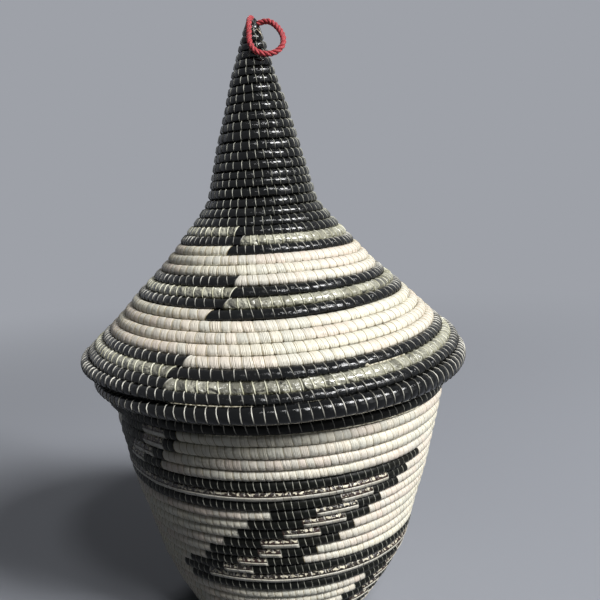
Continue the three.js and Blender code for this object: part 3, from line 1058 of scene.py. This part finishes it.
pad = calc(tree, "FLOOR", along)
pad_chance = chance(tree, pad)
tilt_chance = chance(tree, plus(tree, pad, 0.5))
stitch_chance = chance(tree, plus(tree, calc(tree, "ROUND", along), 0.25))
# Painted shade: a dark notch shows under some stitches, where they dive into the work.
below = ramp(tree, around, -0.13, -0.17)
near_stitch = ramp(tree, to_stitch, 0.13, 0.05)
chosen = ramp(tree, stitch_chance, 0.35, 0.75)
notch_shade = times(tree, below, near_stitch, chosen, given["Notches"])
# The tint drifts slowly along the strand.
drift_inputs = {"W": along, "Scale": 0.035, "Detail": 2.0}
drift = node(tree, "ShaderNodeTexNoise", drift_inputs, noise_dimensions="1D").outputs[0]

# Fine lines run across the strip, and a deeper crease halves some of the pads. On pale strip the
# crease and the furrows between the lines are painted darker in the gap colour: painted shade.
lines = noise(tree, place_of(tree, times(tree, along, 11.0), around))
creased = noise(tree, place_of(tree, times(tree, along, 0.23), around), detail=1.0)
middle = ramp(tree, minus(tree, 0.5, to_stitch), 0.11, 0.0)
crease = times(tree, middle, ramp(tree, creased, 0.42, 0.6), given["Half crease"])
furrow = times(tree, ramp(tree, lines, 0.5, 0.32), given["Ridges"])

# Pale flecks show along the upper part of the bare core.
fleck_place = place_of(tree, times(tree, along, 1.7), times(tree, around, 13.0))
specks = ramp(tree, noise(tree, fleck_place, detail=0.5), 0.52, 0.58)
above, not_too_high = ramp(tree, around, 0.05, 0.08), ramp(tree, around, 0.21, 0.18)
fleck = times(tree, above, not_too_high, specks, given["Flecks"])

# On pale strip the gap colour is darker: painted shade in the dent at each stitch. On olive strip it
# is the strip's own paler edge.
painted = given["Colour"]
for share, over in (
    (ramp(tree, drift, 0.42, 0.62), "Second tint"),
    (times(tree, pad_chance, 0.75), "Third tint"),
    (times(tree, gap, given["Gap strength"]), "Gap colour"),
    (times(tree, crease, 0.45), "Gap colour"),
    (times(tree, furrow, 0.35), "Gap colour"),
    (fleck, "Fleck colour"),
    (times(tree, groove_shade, given["Gap strength"]), "Groove colour"),
    (notch_shade, "Groove colour"),
):
    painted = blend_colours(tree, share, painted, given[over])

dimples = noise(tree, own_place(tree), 700.0)
folds = noise(tree, own_place(tree), 260.0, 1.0, Distortion=0.6)
wrinkles = plus(tree, times(tree, dimples, 0.45), times(tree, folds, 1.7))
# Every pad lies a little differently, so the lamp shines on some and misses others.
aslant = times(tree, minus(tree, pad_chance, 0.5), around, 11.0)
askew = times(tree, minus(tree, tilt_chance, 0.5), calc(tree, "FRACT", along), 3.0)
height = plus(
    tree,
    times(tree, wrinkles, given["Wrinkles"]),
    times(tree, lines, given["Ridges"]),
    times(tree, fleck, 0.8),
    times(tree, crease, -0.7),
    times(tree, plus(tree, aslant, askew), given["Pad tilt"]),
)
worn = times(tree, calc(tree, "MAXIMUM", gap, groove_shade), 0.15)
rough = plus(tree, given["Roughness"], ramp(tree, lines, 0.35, 0.7, -0.05, 0.08), worn)
node(tree, "NodeGroupOutput", {"Colour": painted, "Roughness": rough, "Height": height})
print("inputs of the effect", len(STRIP_INPUTS), "and its nodes", len(tree.nodes))

# %% Strip materials
STRIP_RELIEF = 0.0004


def effect(tree, group, colours, values):
    """The outputs of a shared effect. In values, the inputs' spaces are underscores."""
    inputs = {key: colour(*levels) for key, levels in colours.items()}
    inputs.update({key.replace("_", " "): value for key, value in values.items()})
    return node(tree, "ShaderNodeGroup", inputs, node_tree=group).outputs


def strip_material(name, *colours, bump=1.0, coat=0.05, coat_roughness=0.08, gloss=0.5, **values):
    """Glossy strip: three tints, the colours at a stitch and in the groove, and values."""
    material, tree, shader = new_material(name)
    look = effect(tree, sewn_strip, dict(zip(STRIP_COLOURS, colours)), values)
    inputs = {
        "Base Color": look["Colour"],
        "Roughness": look["Roughness"],
        "Normal": relief(tree, look["Height"], bump, STRIP_RELIEF),
        "Specular IOR Level": gloss,
        "Coat Weight": coat,
        "Coat Roughness": coat_roughness,
    }
    give(tree, shader, inputs)
    return material


black_strip = strip_material(
    "black_strip", (6, 7, 6), (12, 12, 10), (13, 15, 15), (26, 24, 17), (10, 10, 9),
    coat=0.32, gloss=0.25, Roughness=0.17,
)
smooth_black_strip = strip_material(
    "smooth_black_strip", (6, 7, 7), (10, 11, 10), (12, 14, 13), (26, 24, 18), (8, 8, 8),
    bump=0.8, coat=0.22, gloss=0.25, Roughness=0.15,
    Gap_width=0.04, Gap_strength=0.5, Pad_tilt=0.5, Wrinkles=0.35,
)
spire_black_strip = strip_material(
    "spire_black_strip", (6, 7, 6), (11, 11, 9), (13, 15, 13), (20, 20, 14), (8, 9, 7),
    coat=0.5, gloss=0.18, Roughness=0.15, Pad_tilt=1.3, Wrinkles=0.5,
)
dull_black_strip = strip_material(
    "dull_black_strip", (13, 14, 12), (20, 20, 16), (19, 21, 18), (46, 45, 36), (7, 7, 6),
    bump=0.7, coat=0.0, gloss=0.12, Roughness=0.4,
    Groove_width=0.11, Pad_tilt=0.4, Wrinkles=0.6,
)
# The olive strip itself is dark, as its second tint. Its paler colour and the near-white third tint
# of some pads are painted sheen of its crinkled film.
olive_strip = strip_material(
    "olive_strip", (142, 140, 122), (60, 58, 48), (210, 208, 188), (190, 187, 156), (140, 138, 104),
    coat=1.0, coat_roughness=0.12, gloss=0.7, Roughness=0.24,
    Gap_width=0.18, Gap_strength=0.8, Groove_width=0.12, Pad_tilt=2.4, Wrinkles=4.5,
)
# The pale strip's darker gap and groove colours are painted shade, and so are its notches.
ivory_strip = strip_material(
    "ivory_strip", (241, 236, 217), (237, 223, 209), (224, 224, 212), (158, 142, 106), (66, 58, 42),
    bump=0.8, Roughness=0.42, Groove_width=0.1,
    Notches=0.8, Half_crease=0.4, Ridges=1.5, Pad_tilt=0.5, Wrinkles=0.7,
)
brown_core = strip_material(
    "brown_core", (24, 19, 16), (52, 27, 20), (40, 30, 16), (26, 18, 12), (12, 10, 9),
    coat=0.1, Roughness=0.35, Gap_width=0.1,
    Flecks=1.0, Fleck_colour=colour(222, 214, 190), Wrinkles=1.5,
)
# The laid strip's darker gap and groove colours are painted shade.
laid_strip = strip_material(
    "laid_strip", (210, 205, 188), (194, 189, 172), (216, 214, 204), (110, 100, 78), (120, 108, 84),
    bump=0.5, coat=0.15, Groove_width=0.03, Pad_tilt=0.25, Wrinkles=0.7,
)
print("strip materials", len(bpy.data.materials))

# %% [markdown]
# ## Thread, bundle and cord
# The thread is pale plant fibre. The strand's bundle is bare where the lid drops into
# the basket: a bunch of straw-coloured stems, so its streaks run along the strand.

# %% Fibre materials
FIBRE_INPUTS = {
    "Light": WHITE,
    "Dark": WHITE,
    "Length": 5.0,
    "Fineness": 3.0,
    "Fade": 0.0,
    "Missing": 0.0,
    "Dull below": -0.19,
    "Bright above": 0.03,
}
fibre = new_group("fibre", FIBRE_INPUTS, {"Colour": WHITE, "Height": 0.0})
given = node(fibre, "NodeGroupInput").outputs
along, around = strand_place(fibre)
stretched = place_of(
    fibre, times(fibre, along, given["Length"]), times(fibre, around, given["Fineness"])
)
stems = noise(fibre, stretched, detail=4.0, Roughness=0.6)
# A stitch is painted darker towards its lower end, painted shade where it dives into the work, and
# some stitches are of darker fibre.
shaded_end = minus(fibre, 1.0, given["Fade"])
lit_share = ramp(fibre, around, given["Dull below"], given["Bright above"], shaded_end, 1.0)
stitch_chance = chance(fibre, plus(fibre, calc(fibre, "ROUND", along), 0.5))
pale = calc(fibre, "GREATER_THAN", stitch_chance, given["Missing"])
light_share = times(fibre, ramp(fibre, stems, 0.3, 0.7), lit_share, pale)
mixed = blend_colours(fibre, light_share, given["Dark"], given["Light"])
node(fibre, "NodeGroupOutput", {"Colour": mixed, "Height": stems})
FIBRE_RELIEF = 0.0002


def fibre_material(name, light, dark, roughness, bump=0.3, **values):
    """Fibre that runs along the strand."""
    material, tree, shader = new_material(name)
    look = effect(tree, fibre, {"Light": light, "Dark": dark}, values)
    inputs = {
        "Base Color": look["Colour"],
        "Roughness": roughness,
        "Normal": relief(tree, look["Height"], bump, FIBRE_RELIEF),
    }
    give(tree, shader, inputs)
    return material


bare_bundle = fibre_material(
    "bare_bundle", (186, 152, 104), (98, 72, 44), 0.7, 0.9, Length=0.35, Fineness=26
)
# The pale thread's near-black dark colour is mostly painted shade, at the lower end of each stitch.
pale_thread = fibre_material(
    "pale_thread", (238, 235, 222), (34, 33, 28), 0.35, Fade=1.0, Dull_below=-0.15, Bright_above=0.08
)
# A darker copy of the pale thread: painted shade on threads that lie in shade.
shaded_thread = fibre_material(
    "shaded_thread", (188, 188, 174), (34, 33, 27), 0.45, Fade=0.95, Dull_below=-0.2, Bright_above=-0.01
)
dull_thread = fibre_material("dull_thread", (190, 178, 142), (136, 120, 86), 0.6, Length=9.0)
green_thread = fibre_material("green_thread", (238, 236, 218), (150, 148, 118), 0.4, Fade=0.5)
white_thread = fibre_material(
    "white_thread", (244, 240, 226), (46, 30, 22), 0.4,
    Length=3.0, Fade=1.0, Missing=0.22, Dull_below=0.05, Bright_above=0.11,
)

cord_red, tree, shader = new_material("crimson_cord")
fuzz = noise(tree, own_place(tree), 2600.0, 3.0)
wool = blend_colours(tree, ramp(tree, fuzz, 0.35, 0.7), colour(130, 14, 28), colour(205, 55, 62))
wool_inputs = {
    "Base Color": wool,
    "Roughness": 0.55,
    "Sheen Weight": 0.4,
    "Normal": relief(tree, fuzz, 0.6, FIBRE_RELIEF),
}
give(tree, shader, wool_inputs)
hanging_cord.data.materials.append(cord_red)
print("materials so far", len(bpy.data.materials))

# %% Dress the pieces
PACKED_PIECES = {
    # band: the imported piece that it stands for
    "tip": "spire_tip",
    "spire": "lid_spire",
    "shoulder": "lid_shoulder_band",
    "upper_pale": "upper_pale_band",
    "middle_dark": "middle_dark_band",
    "lower_pale": "lower_pale_band",
    "brim_dark": "brim_dark_band",
    "brim_edge": "brim_edge_round",
    "seat": "lid_seat_rounds",
    "ledge": "lid_ledge_round",
    "collar": "lid_collar",
    "plain_wall": "plain_wall_band",
    "zigzag_wall": "zigzag_wall_band",
    "lower_wall": "lower_wall_band",
    "rim": "mouth_rim",
    "foot": "foot_round",
    "base": "base_disc",
}
BASKET_BANDS = ("plain_wall", "zigzag_wall", "lower_wall", "rim", "foot", "base")
FINISHES = {
    # covering: (strip, thread, slot of the record)
    "black": (black_strip, pale_thread, "black_strip"),
    "olive": (olive_strip, green_thread, "olive_strip"),
    "ivory": (ivory_strip, dull_thread, "ivory_strip"),
    "mixed": (brown_core, white_thread, "patterned_strip"),
    "straw": (bare_bundle, dull_thread, "plain_coil"),
}
# Black strip differs a little from place to place.
BAND_FACES = dict.fromkeys(BASKET_BANDS, dull_black_strip)
BAND_FACES.update({"brim_edge": smooth_black_strip, "spire": spire_black_strip})
BAND_FACES["tip"] = spire_black_strip
LID_ZONES = ("lid", "spire", "seat")
SHADED_THREAD_ZONES = ("spire", "wall", "base", "seat")  # where the thread on black strip is thin, and painted darker: painted shade


def set_material(piece, material):
    piece.data.materials.clear()
    piece.data.materials.append(material)


def place_band(piece, band, slot):
    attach(piece, "basket" if band in BASKET_BANDS else "lid")
    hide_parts(PACKED_PIECES[band])


for (band, kind), parts in strips.items():
    piece = joined(f"{band}_{kind}_strip", parts)
    strip, _, slot = FINISHES[kind]
    if kind == "black":
        strip = BAND_FACES.get(band, strip)
    set_material(piece, strip)
    place_band(piece, band, slot)
for (zone, kind), parts in threads.items():
    piece = joined(f"{zone}_{kind}_stitches", parts)
    in_shade = kind == "black" and zone in SHADED_THREAD_ZONES
    set_material(piece, shaded_thread if in_shade else FINISHES[kind][1])
    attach(piece, "lid" if zone in LID_ZONES else "basket")
for band, parts in laid_strips.items():
    piece = joined(f"{band}_laid_strips", parts)
    set_material(piece, laid_strip)
    place_band(piece, band, "ivory_strip")
seen = [piece for piece in bpy.data.objects if piece.type == "MESH" and not piece.hide_render]
triangles = sum(len(face.vertices) - 2 for piece in seen for face in piece.data.polygons)
print("pieces", len(seen), "with triangles", triangles)

# %% [markdown]
# ## The nub at the tip
# The first turn of the strand is wound round a small peg of strip, through which the
# cord goes. It is a filled circle, extruded upwards with each new ring smaller.

# %% Nub
NUB_SIDES = 20
NUB_RINGS = {264.6: 4.1, 266.4: 3.9, 268.2: 3.1, 269.6: 2.6, 270.8: 1.9, 271.6: 0.9}
NUB_PLACE = Vector((-3.1, 0.9, 0)) * MM  # it leans with the lid
nub_rings = [(height * MM, radius * MM) for height, radius in NUB_RINGS.items()]
nub_foot, nub_radius = nub_rings[0]
bpy.ops.object.select_all(action="DESELECT")
bpy.ops.mesh.primitive_circle_add(
    vertices=NUB_SIDES,
    radius=nub_radius,
    fill_type="NGON",
    location=NUB_PLACE + Vector((0, 0, nub_foot)),
)
nub = bpy.context.object
nub.name = "tip_nub"
extrude_ring(nub_rings, (0, 0, 1), NUB_PLACE)
on_whole_mesh(bpy.ops.mesh.normals_make_consistent, inside=False)
bpy.ops.object.shade_smooth()
nub.data.uv_layers.new(name="strand")
set_material(nub, black_strip)
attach(nub, "lid")
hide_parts("spire_tip")
print("nub's faces", len(nub.data.polygons))

# %% [markdown]
# ## Loose ends of thread
# Here and there the maker's thread runs on along a groove before it dives into the
# work, once with a knot. Each is a thin tube on a line that follows the strand.

# %% Threads along a groove
def line_on(coil, first_turn, last_turn, around_degrees, lift, steps=40):
    """A line along the strand, that far round its section and that far above it."""
    turns = np.linspace(first_turn, last_turn, steps)
    half_width, half_depth = coil.path(turns)[3:5]
    around = math.radians(around_degrees)
    outward = (half_depth + lift) * math.cos(around)
    return placed(coil, turns, outward, (half_width + lift) * math.sin(around))


LOOSE_SIDES = 6
TIP_STITCH_RADIUS, RIM_THREAD_RADIUS = 0.26, 0.22
TIP_STITCH = [(-1.2, -4.4, 265.6), (0.0, -3.8, 264.5), (0.9, -2.9, 263.4)]  # a slanting one
KNOT_STEPS = 9
KNOT_ENDS, KNOT_SWELL = 0.15, 0.75  # its radius at the ends, and how much it grows
LID_GROOVE_ENDS = [
    # first turn, last turn, degrees round the strand, height above it, and radius
    (36.965, 37.075, -74, 0.1, 0.26),
    (35.885, 35.925, 62, 0.15, 0.3),
]
lid_ends = [tube(smooth_line(TIP_STITCH, 5), TIP_STITCH_RADIUS, LOOSE_SIDES)]
for *places, radius in LID_GROOVE_ENDS:
    lid_ends.append(tube(line_on(lid_coil, *places), radius, LOOSE_SIDES))
knot_line = line_on(lid_coil, 35.9225, 35.9265, 62, 0.35, KNOT_STEPS)
bulge = np.sin(np.linspace(0.1, math.pi - 0.1, KNOT_STEPS))
lid_ends.append(tube(knot_line, KNOT_ENDS + KNOT_SWELL * bulge))
rim_line = line_on(rim_coil, -0.06, 0.135, -60, 0.12)
rim_ends = [tube(rim_line, RIM_THREAD_RADIUS, LOOSE_SIDES)]
loose_thread, tree, shader = new_material("loose_thread")
spots = ramp(tree, noise(tree, own_place(tree), 900.0), 0.35, 0.65)
mottled = blend_colours(tree, spots, colour(120, 112, 88), colour(228, 222, 200))
give(tree, shader, {"Base Color": mottled, "Roughness": 0.45})
LOOSE_PIECES = {
    "lid_loose_thread": ("lid", lid_ends),
    "rim_loose_thread": ("basket", rim_ends),
}
for name, (body, tubes) in LOOSE_PIECES.items():
    piece = tubes_piece(name, tubes)
    set_material(piece, loose_thread)
    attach(piece, body)
print("loose ends of thread", len(lid_ends) + len(rim_ends))

# %% [markdown]
# ## Floor, world and lamps
# A plain pale floor, one large soft lamp high on the right, and three weaker ones: in
# front, low on the right, where it brightens the upright wall, and behind, for the
# views from there. The world fills the shadows and gives the background its colour.

# %% Floor
BACKDROP = colour(158, 161, 168)
FLOOR_SEEN = colour(150, 153, 160)
FLOOR_BOUNCE = colour(72, 74, 78)  # what the floor throws back on the basket
FLOOR_RADIUS = 6
FADE_START, FADE_END = 0.3, 1.0  # metres from the basket


def looked_at(tree):
    """1 for rays that show a thing, and 0 for those that only carry its light."""
    rays = node(tree, "ShaderNodeLightPath").outputs
    looks = calc(tree, "MAXIMUM", rays["Is Camera Ray"], rays["Is Transmission Ray"])
    return calc(tree, "MAXIMUM", looks, rays["Is Glossy Ray"])


bpy.ops.object.select_all(action="DESELECT")
bpy.ops.mesh.primitive_circle_add(vertices=64, radius=FLOOR_RADIUS, fill_type="NGON")
floor = bpy.context.object
floor.name = "floor"
floor_paint, tree, shader = new_material("floor_paint")
floor_colour = blend_colours(tree, looked_at(tree), FLOOR_BOUNCE, FLOOR_SEEN)
give(tree, shader, {"Base Color": floor_colour, "Roughness": 1.0, "Specular IOR Level": 0.0})
# Far from the basket the floor fades into the backdrop's colour, so no horizon shows.
distance = node(tree, "ShaderNodeVectorMath", {0: own_place(tree)}, operation="LENGTH")
far = ramp(tree, distance.outputs["Value"], FADE_START, FADE_END)
far_off = node(tree, "ShaderNodeEmission", {"Color": BACKDROP, "Strength": 1.0})
shares = {0: times(tree, far, looked_at(tree)), 1: shader.outputs[0], 2: far_off.outputs[0]}
faded = node(tree, "ShaderNodeMixShader", shares)
give(tree, tree.nodes["Material Output"], {"Surface": faded.outputs[0]})
floor.data.materials.append(floor_paint)
print("floor", 2 * FLOOR_RADIUS, "m across")

# %% World
FILL_STRENGTH = 0.028
world = bpy.data.worlds.new("studio")
bpy.context.scene.world = world
world.use_nodes = True
tree = world.node_tree
tree.nodes.clear()
fill = node(tree, "ShaderNodeBackground", {"Color": colour(235, 240, 250), "Strength": FILL_STRENGTH})
shown = node(tree, "ShaderNodeBackground", {"Color": BACKDROP, "Strength": 1.0})
shares = {0: looked_at(tree), 1: fill.outputs[0], 2: shown.outputs[0]}
mixer = node(tree, "ShaderNodeMixShader", shares)
node(tree, "ShaderNodeOutputWorld", {"Surface": mixer.outputs[0]})
print("world's fill", FILL_STRENGTH)

# %% Lamps
LAMP_TARGET = Vector((0, 0, 0.13))


def soft_lamp(name, azimuth, elevation, distance, size, power):
    """A square lamp that looks at the basket. Azimuth 0 is the front, 90 the right."""
    turn, rise = math.radians(azimuth), math.radians(elevation)
    level = math.cos(rise)
    away = Vector((math.sin(turn) * level, -math.cos(turn) * level, math.sin(rise)))
    bpy.ops.object.select_all(action="DESELECT")
    bpy.ops.object.light_add(type="AREA", location=LAMP_TARGET + away * distance)
    lamp = bpy.context.object
    lamp.name = name
    lamp.rotation_euler = away.to_track_quat("Z", "Y").to_euler()
    lamp.data.size = size
    lamp.data.energy = power
    lamp.visible_camera = False
    print(name, power, "W")
    return lamp


LAMPS = {
    # name: azimuth, elevation, distance and size in metres, and power in watts
    "key_lamp": (52, 38, 2.6, 0.8, 94),
    "front_lamp": (20, 50, 2.2, 0.3, 7),
    "low_lamp": (58, 6, 2.4, 1.2, 6),
    "back_lamp": (160, 16, 2.6, 1.2, 22),
}
for name, settings in LAMPS.items():
    lamp = soft_lamp(name, *settings)
    # The back lamp's glints would line the edge of the black strip.
    lamp.visible_glossy = name != "back_lamp"
bpy.context.scene.view_settings.view_transform = "Standard"
